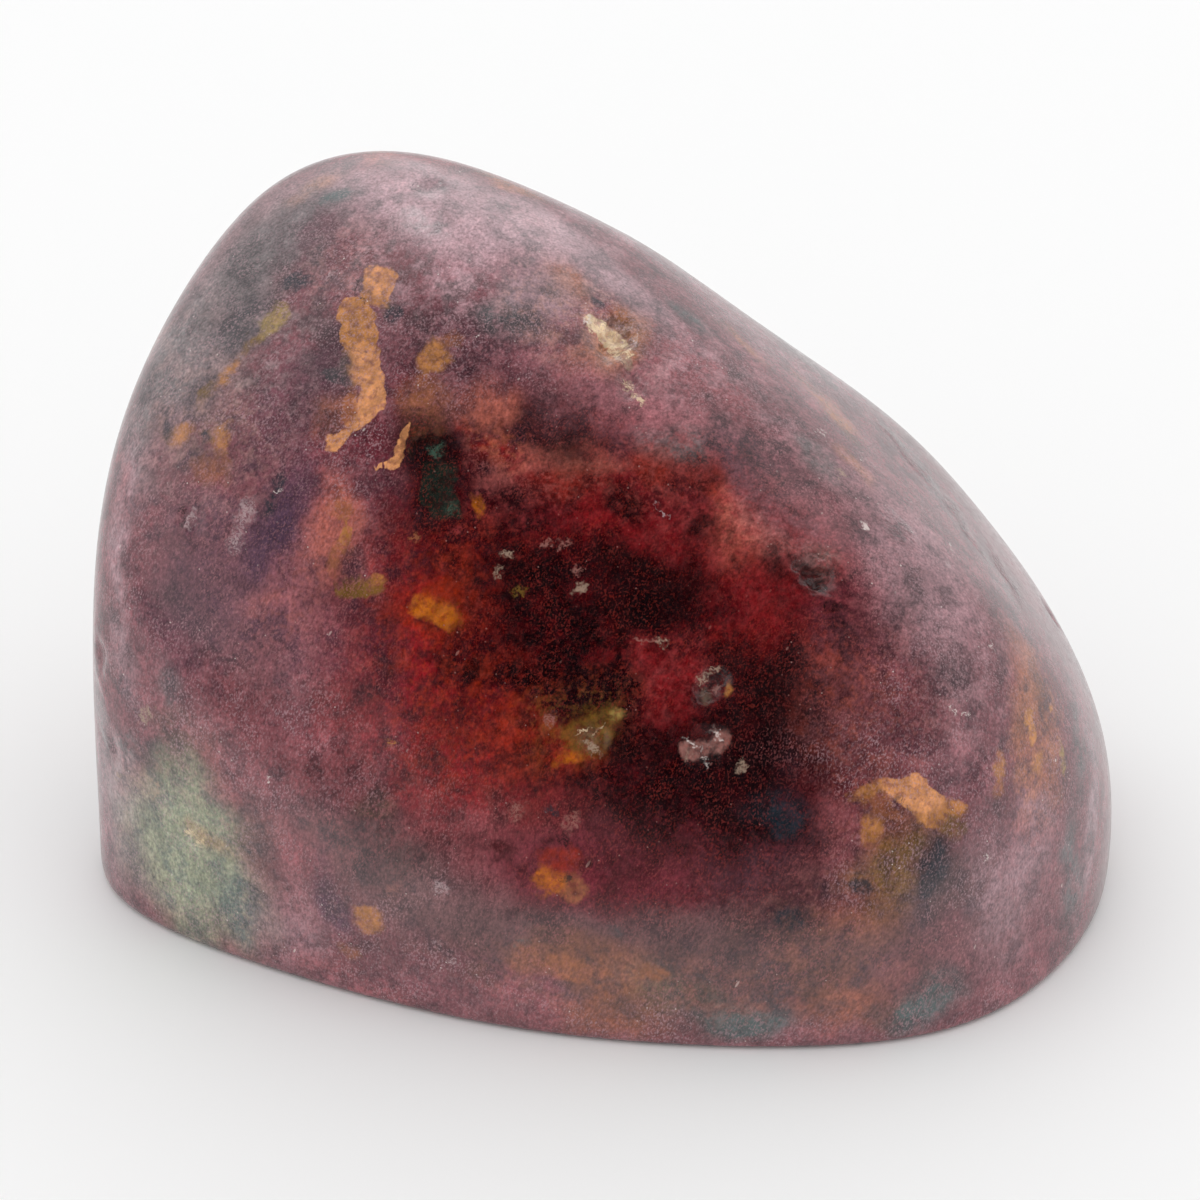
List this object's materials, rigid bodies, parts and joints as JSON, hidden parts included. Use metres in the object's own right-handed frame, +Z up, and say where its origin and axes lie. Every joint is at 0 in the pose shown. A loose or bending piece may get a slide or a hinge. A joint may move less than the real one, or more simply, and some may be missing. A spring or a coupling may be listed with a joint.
{
  "type": "rhodonite freeform",
  "caption": "Polished natural stone with a broad domed front, a slanting back and a flat base to stand on.",
  "frame": {"origin": "on the plane of the flat base, under the middle of the stone's bounding box", "axes": "+Z up from the flat base, +X along the longest side towards the low end of the slanting back, -Y out of the broad front"},
  "size_m": [0.0856, 0.0636, 0.0595],
  "materials": {
    "polished_rhodonite": "hand polished, satin gloss, with small open pits"
  },
  "bodies": {
    "root": {"stone": "polished_rhodonite"}
  },
  "joints": []
}
